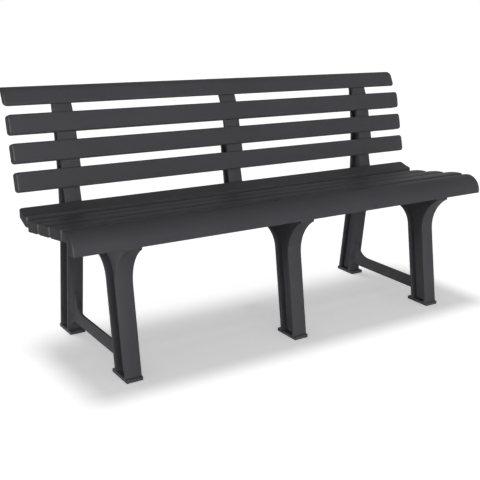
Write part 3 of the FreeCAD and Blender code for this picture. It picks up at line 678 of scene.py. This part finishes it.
@dataclass
class PanScrews:
    """Pan-head screws with a cross recess, set where the CAD screws are.

    Lengths are in metres, and shares are of the head's, the shank's or the screw's own size.

    Attributes:
        nodes: CAD screw groups that are dressed.
        finish: Their steel.
        head_radius: Radius of the head.
        head_height: Height of the head.
        shank_radius: Radius of the shank.
        length: Length of the shank.
        sides: Sides of each round form.
        sharp_angle: Edges steeper than this stay sharp, in degrees.
        crown: Shares of the head's radius and height that its rounded outside follows.
        ridges: Number of ridges on the shank.
        ridge_start: Share of the length at which the ridges start.
        ridge_run: Share of the length that the ridges take up.
        root_share: Radius between two ridges.
        tip_start: Share of the length at which the tip starts.
        tip_share: Radius at which the tip starts.
        face_share: Share of the head's height above which the cross is pressed in.
        cross_width: Width of the cross, as a sine.
        cross_depth: Depth of the cross as a share of the head's height.
        same_plane: Reach along the bench from a screw's middle that counts as there.
    """

    nodes: tuple[str, ...]
    finish: SteelFinish
    head_radius: float = 0.00425
    head_height: float = 0.003
    shank_radius: float = 0.002
    length: float = 0.015
    sides: int = 32
    sharp_angle: float = 40.0
    crown: tuple[tuple[float, float], ...] = (
        (0.0, 0.98), (0.35, 0.98), (0.62, 0.9), (0.85, 0.68), (0.96, 0.4), (1.0, 0.12), (0.98, 0.0))
    ridges: int = 9
    ridge_start: float = 0.08
    ridge_run: float = 0.78
    root_share: float = 0.8
    tip_start: float = 0.92
    tip_share: float = 0.75
    face_share: float = 0.95
    cross_width: float = 0.45
    cross_depth: float = 0.45
    same_plane: float = 0.0021

    def build(self, cad: dict[str, bpy.types.Object]) -> None:
        """Dresses each screw group.

        Args:
            cad: CAD objects by node name.
        """
        material = self.finish.build()
        pattern = self.pattern()
        tree = self.scatter_tree()
        for name in self.nodes:
            holder = self.seat_points(self.seats(cad[name]))
            self.scatter(holder, tree, pattern, material)
            stand_in(name, baked(holder, f"{name}_detail"), material)
        bpy.data.objects.remove(pattern)

    def profile(self) -> list[tuple[float, float]]:
        """Half section of the screw, from the middle of its head to its tip.

        Returns:
            Radius and depth of each corner, with the head's underside at depth 0.
        """
        corners = [(share * self.head_radius, -self.head_height * rise)
                   for share, rise in self.crown]
        corners.append((self.shank_radius, 0.0))
        steps = 2 * self.ridges
        for step in range(steps):
            depth = self.length * (self.ridge_start + self.ridge_run * step / (steps - 1))
            corners.append((self.shank_radius * (1.0 if step % 2 else self.root_share), depth))
        corners.append((self.shank_radius * self.tip_share, self.length * self.tip_start))
        corners.append((0.0, self.length))
        return corners

    def pattern(self) -> bpy.types.Object:
        """One screw with its head's underside at the origin and its shank along +Z.

        Returns:
            The screw's object.
        """
        work = bmesh.new()
        rings: list[list[bmesh.types.BMVert]] = []
        for radius, depth in self.profile():
            count = 1 if radius == 0.0 else self.sides
            turns = [math.tau * step / self.sides for step in range(count)]
            rings.append([work.verts.new((radius * math.cos(turn), radius * math.sin(turn), depth))
                          for turn in turns])
        for first, second in zip(rings, rings[1:]):
            self.stitch(work, first, second)
        self.press_cross(work)
        bmesh.ops.recalc_face_normals(work, faces=work.faces)
        mesh = bpy.data.meshes.new("screw_pattern")
        work.to_mesh(mesh)
        work.free()
        smooth(mesh, self.sharp_angle)
        return add_object("screw_pattern", mesh)

    def stitch(self, work: bmesh.types.BMesh, first: list[bmesh.types.BMVert],
               second: list[bmesh.types.BMVert]) -> None:
        """Joins two rings of the turned profile with faces.

        Args:
            work: The screw's mesh.
            first: One ring, or the single point at an end.
            second: The next ring or point.
        """
        for here in range(self.sides):
            there = (here + 1) % self.sides
            if len(first) == 1:
                work.faces.new((first[0], second[here], second[there]))
            elif len(second) == 1:
                work.faces.new((first[there], first[here], second[0]))
            else:
                work.faces.new((first[here], second[here], second[there], first[there]))

    def press_cross(self, work: bmesh.types.BMesh) -> None:
        """Presses a cross recess into the head's crown.

        Args:
            work: The screw's mesh.
        """
        for vert in work.verts:
            if vert.co.z < -self.head_height * self.face_share:
                arm = abs(math.sin(2.0 * math.atan2(vert.co.y, vert.co.x)))
                if arm < self.cross_width:
                    vert.co.z += self.head_height * self.cross_depth

    def seats(self, source: bpy.types.Object) -> list[Seat]:
        """Where each CAD screw's head is seated, and which way its shank points.

        Args:
            source: The CAD screw group's object.

        Returns:
            Seat point and unit direction of each screw, from left to right.
        """
        work = merged(source)
        reached: set[bmesh.types.BMVert] = set()
        spots = [self.seat_of(self.screw_points(vert, reached))
                 for vert in work.verts if vert not in reached]
        work.free()
        return sorted(spots, key=lambda spot: spot[0].x)

    @staticmethod
    def screw_points(start: bmesh.types.BMVert, reached: set[bmesh.types.BMVert]) -> list[Vector]:
        """Points of the screw that a vertex belongs to, in the same order each run.

        Args:
            start: A vertex of the screw.
            reached: Vertices of the screws so far, to which this screw's are added.

        Returns:
            The screw's points.
        """
        points = []
        queue = [start]
        reached.add(start)
        while queue:
            vert = queue.pop()
            points.append(vert.co.copy())
            for edge in vert.link_edges:
                other = edge.other_vert(vert)
                if other not in reached:
                    reached.add(other)
                    queue.append(other)
        return points

    def seat_of(self, points: list[Vector]) -> Seat:
        """Seat and direction of one screw from its points.

        Args:
            points: The screw's vertices.

        Returns:
            The seat point and the unit direction of the shank.
        """
        _, one_end, other_end = max(((a - b).length, a, b) for a in points[::3] for b in points[::3])
        middle = (one_end + other_end) / 2.0
        near_x = sum(point.x for point in points) / len(points)
        axis = self.direction([point for point in points
                               if abs(point.x - near_x) < self.same_plane])
        along = [(point - middle).dot(axis) for point in points]
        low, high = min(along), max(along)
        wide_low = max(self.off_axis(point, middle, axis) for point, reach in zip(points, along)
                       if reach < low + self.head_height)
        wide_high = max(self.off_axis(point, middle, axis) for point, reach in zip(points, along)
                        if reach > high - self.head_height)
        if wide_low < wide_high:
            axis, low = -axis, -high
        centre = self.centre(points, axis)
        return centre + axis * (low + (middle - centre).dot(axis) + self.head_height), axis

    @staticmethod
    def direction(points: list[Vector]) -> Vector:
        """Direction of a screw's longest span, laid square to the bench's length.

        Args:
            points: Points near the screw's middle plane.

        Returns:
            Unit vector along the screw, 12 to 17 degrees off its axis.
        """
        best = max(((a - b) for a in points for b in points[::2]), key=lambda span: span.length)
        return Vector((0.0, best.y, best.z)).normalized()

    @staticmethod
    def off_axis(point: Vector, middle: Vector, axis: Vector) -> float:
        """Distance of a point from an axis.

        Args:
            point: The point.
            middle: A point on the axis.
            axis: Unit vector along the axis.

        Returns:
            The distance in metres.
        """
        away = point - middle
        return (away - axis * away.dot(axis)).length

    @staticmethod
    def centre(points: list[Vector], axis: Vector) -> Vector:
        """Middle of a screw's extent along it, across it and along the bench.

        Args:
            points: The screw's vertices.
            axis: Unit vector along the screw.

        Returns:
            The middle point.
        """
        level = Vector((1.0, 0.0, 0.0))
        middle = Vector()
        for way in (axis.cross(level).normalized(), axis, level):
            reaches = [point.dot(way) for point in points]
            middle += way * ((min(reaches) + max(reaches)) / 2.0)
        return middle

    @staticmethod
    def seat_points(spots: list[Seat]) -> bpy.types.Object:
        """Puts a point in the scene at every seat.

        Args:
            spots: Seats and directions.

        Returns:
            An object with one vertex a screw and the screws' directions as its attribute.
        """
        cloud = bpy.data.meshes.new("seats")
        cloud.from_pydata([spot for spot, _ in spots], [], [])
        aim = cloud.attributes.new("aim", "FLOAT_VECTOR", "POINT")
        for index, (_, axis) in enumerate(spots):
            aim.data[index].vector = axis
        return add_object("seats", cloud)

    @staticmethod
    def scatter_tree() -> bpy.types.NodeTree:
        """A tree that sets an object at every point, aimed by the point's own direction.

        Returns:
            The tree, whose inputs are the points, the screw, its material and its size.
        """
        tree, given, result = new_group(
            Effect.SCREWS.value,
            {"Geometry": ("NodeSocketGeometry", None), "Screw": ("NodeSocketObject", None),
             "Material": ("NodeSocketMaterial", None), "Size": ("NodeSocketFloat", 1.0)},
            {"Geometry": "NodeSocketGeometry"}, "GeometryNodeTree")
        aim = node(tree, "GeometryNodeInputNamedAttribute", {"Name": "aim"},
                   data_type="FLOAT_VECTOR").outputs["Attribute"]
        turn = node(tree, "FunctionNodeAlignRotationToVector", {"Vector": aim}, axis="Z")
        screw = node(tree, "GeometryNodeObjectInfo", {"Object": given["Screw"]})
        put = node(tree, "GeometryNodeInstanceOnPoints", {
            "Points": given["Geometry"], "Instance": screw.outputs["Geometry"],
            "Rotation": turn.outputs["Rotation"], "Scale": given["Size"]})
        real = node(tree, "GeometryNodeRealizeInstances", {"Geometry": put.outputs["Instances"]})
        dress = node(tree, "GeometryNodeSetMaterial", {
            "Geometry": real.outputs["Geometry"], "Material": given["Material"]})
        feed(tree, result, {"Geometry": dress.outputs["Geometry"]})
        return tree

    @staticmethod
    def scatter(holder: bpy.types.Object, tree: bpy.types.NodeTree, pattern: bpy.types.Object,
                material: bpy.types.Material) -> None:
        """Sets the screw at every point of an object with Geometry Nodes.

        Args:
            holder: Object with the points.
            tree: The tree that sets them.
            pattern: The screw that is repeated.
            material: The screws' finish.
        """
        sockets = {item.name: item.identifier for item in tree.interface.items_tree
                   if item.item_type == "SOCKET" and item.in_out == "INPUT"}
        modifier = holder.modifiers.new("screws", "NODES")
        modifier.node_group = tree
        modifier[sockets["Screw"]] = pattern
        modifier[sockets["Material"]] = material
        modifier[sockets["Size"]] = 1.0


# Studio


@dataclass
class Camera:
    """The photograph's camera.

    Attributes:
        place: Position in metres.
        azimuth: Heading round the bench, in degrees.
        elevation: Height above the horizon, in degrees.
        roll: Turn about the line of sight, in degrees.
        focal_px: Focal length in pixels of the photograph's frame.
        sensor_mm: Width of the sensor, in millimetres.
        reach: Nearest and farthest distance that is seen, in metres.
    """

    place: tuple[float, float, float] = (-1.4564, -2.013, 0.9972)
    azimuth: float = -34.4142
    elevation: float = 16.7469
    roll: float = 1.5579
    focal_px: float = 820.73
    sensor_mm: float = 36.0
    reach: tuple[float, float] = (0.05, 60.0)

    def build(self) -> None:
        """Adds the camera and makes it the scene's."""
        data = bpy.data.cameras.new("view")
        data.sensor_width = self.sensor_mm
        data.lens = self.focal_px * self.sensor_mm / FRAME_PX
        data.clip_start, data.clip_end = self.reach
        camera = add_object("view", data)
        camera.matrix_world = Matrix.Translation(self.place) @ self.turn()
        bpy.context.scene.camera = camera

    def turn(self) -> Matrix:
        """The camera's rotation.

        Returns:
            Matrix whose columns are the image's right, its top and the way back to the eye.
        """
        azimuth, elevation = math.radians(self.azimuth), math.radians(self.elevation)
        roll = math.radians(self.roll)
        back = Vector((math.sin(azimuth) * math.cos(elevation),
                       -math.cos(azimuth) * math.cos(elevation), math.sin(elevation)))
        right = (-back).cross(Vector((0.0, 0.0, 1.0))).normalized()
        up = right.cross(-back).normalized()
        across = right * math.cos(roll) + up * math.sin(roll)
        upward = up * math.cos(roll) - right * math.sin(roll)
        return Matrix((across, upward, back)).transposed().to_4x4()


@dataclass(frozen=True)
class Lamp:
    """A soft light from far away.

    Attributes:
        name: Name of the light.
        direction: Where the light goes.
        strength: Strength on a face square to it.
        spread: Width of the light as seen from the bench, in degrees.
        diffuse: Whether it lights surfaces.
        glossy: Whether it gives highlights.
    """

    name: str
    direction: Direction
    strength: float
    spread: float
    diffuse: bool = True
    glossy: bool = True

    def build(self, lit: Sequence[bpy.types.Object] = (),
              unlit: Sequence[bpy.types.Object] = ()) -> None:
        """Adds the light.

        Args:
            lit: Objects that alone are lit, or none for all.
            unlit: Objects that aren't lit.
        """
        data = bpy.data.lights.new(self.name, "SUN")
        data.energy = self.strength
        data.angle = math.radians(self.spread)
        lamp = add_object(self.name, data)
        lamp.rotation_mode = "QUATERNION"
        lamp.rotation_quaternion = Vector(self.direction).to_track_quat("-Z", "Y")
        lamp.visible_diffuse = self.diffuse
        lamp.visible_glossy = self.glossy
        receivers = bpy.data.collections.new(f"lit_by_{self.name}")
        for obj in (*lit, *unlit):
            receivers.objects.link(obj)
        for entry in receivers.collection_objects[len(lit):]:
            entry.light_linking.link_state = "EXCLUDE"
        lamp.light_linking.receiver_collection = receivers


@dataclass
class Studio:
    """White floor, soft lamps and the background.

    Attributes:
        frames: The frames' objects, whose side recesses have a light of their own.
        floor_shade: Light that leaves the shadow on the floor.
        front: Light on the bench's front.
        rear: Light on the bench's back.
        recess_fill: Light that is bounced into the frames' side recesses.
        glint: Highlights on the corners of the slat ends.
        floor_size: Half width of the floor, in metres.
        floor_roughness: Roughness of the floor.
        floor_lift: White that the camera sees on the floor on top of the light that falls there.
        ambient: Strength of the surrounding light.
    """

    frames: Sequence[bpy.types.Object]
    floor_shade: Lamp = Lamp("floor_shade", (0.06, -0.15, -1.0), strength=1.37, spread=15.0)
    front: Lamp = Lamp("front", (0.04, 0.95, -0.22), strength=3.05, spread=30.0)
    rear: Lamp = Lamp("rear", (-0.25, -0.97, -0.02), strength=2.3, spread=30.0, glossy=False)
    recess_fill: Lamp = Lamp("recess_fill", (1.0, 0.0, -0.12), strength=2.9, spread=20.0)
    glint: Lamp = Lamp("glint", (0.79, 0.6, -0.09), strength=40.0, spread=10.0, diffuse=False)
    floor_size: float = 40.0
    floor_roughness: float = 0.9
    floor_lift: float = 0.405
    ambient: float = 0.24

    def build(self) -> None:
        """Builds the floor, the lamps and the world."""
        floor = self.floor()
        self.floor_shade.build(lit=[floor])
        self.front.build(unlit=[floor])
        self.rear.build(unlit=[floor])
        self.recess_fill.build(lit=self.frames)
        self.glint.build(unlit=[floor])
        self.world()
        bpy.context.scene.view_settings.view_transform = "Standard"

    def floor(self) -> bpy.types.Object:
        """Adds a white floor that keeps the bench's shadow.

        Returns:
            The floor.
        """
        size = self.floor_size
        mesh = bpy.data.meshes.new("floor")
        corners = [(-size, -size, 0.0), (size, -size, 0.0), (size, size, 0.0), (-size, size, 0.0)]
        mesh.from_pydata(corners, [], [(0, 1, 2, 3)])
        material, tree, shader = blank_material("white_floor")
        feed(tree, shader, {
            "Base Color": WHITE,
            "Roughness": self.floor_roughness,
            "Specular IOR Level": 0.0,
            "Emission Color": WHITE,
            "Emission Strength": math_node(tree, "MULTIPLY", self.seen(tree), self.floor_lift),
        })
        mesh.materials.append(material)
        made = add_object("floor", mesh)
        return made

    def world(self) -> None:
        """White behind the bench and in what mirrors it, and a soft grey light otherwise."""
        world = bpy.data.worlds.new("studio")
        world.use_nodes = True
        tree = world.node_tree
        strength = math_node(tree, "MULTIPLY_ADD", self.seen(tree), 1.0 - self.ambient,
                             self.ambient)
        feed(tree, tree.nodes["Background"], {"Color": WHITE, "Strength": strength})
        bpy.context.scene.world = world

    @staticmethod
    def seen(tree: bpy.types.NodeTree) -> bpy.types.NodeSocket:
        """Mask of what is seen straight on, in a mirror or through glass.

        Args:
            tree: Node tree of a material or the world.

        Returns:
            Socket that is 1 for such rays and 0 for light that falls on a surface.
        """
        path = node(tree, "ShaderNodeLightPath").outputs
        mask = math_node(tree, "MAXIMUM", path["Is Camera Ray"], path["Is Transmission Ray"])
        return math_node(tree, "MAXIMUM", mask, path["Is Glossy Ray"])


def main() -> None:
    """Builds the bench's looks in order."""
    logging.basicConfig(level=logging.INFO, format="%(name)s: %(message)s")
    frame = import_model()
    cad = frame["nodes"]
    MouldGrain().build()
    WearDustAndEdgeSheen().build()
    # The lighter edge colours are partly rubbed wear and partly painted edge sheen.
    frame_plastic = PlasticFinish(Slot.FRAME, colour=(0.0435, 0.0435, 0.0485),
                                  edge_wear_and_sheen=(0.062, 0.062, 0.068), grain_depth=0.35)
    slat_plastic = PlasticFinish(Slot.SLAT, colour=(0.0435, 0.0430, 0.0485),
                                 edge_wear_and_sheen=(0.06, 0.06, 0.066), grain_depth=0.3)
    frames = Mouldings(FRAME_NODES, frame_plastic, edge_radius=0.0009)
    frames.build(cad)
    Mouldings(SLAT_NODES, slat_plastic, edge_radius=0.0006).build(cad)
    PanScrews(SCREW_NODES, SteelFinish()).build(cad)
    Camera().build()
    Studio(frames.made).build()


if __name__ == "__main__":
    main()
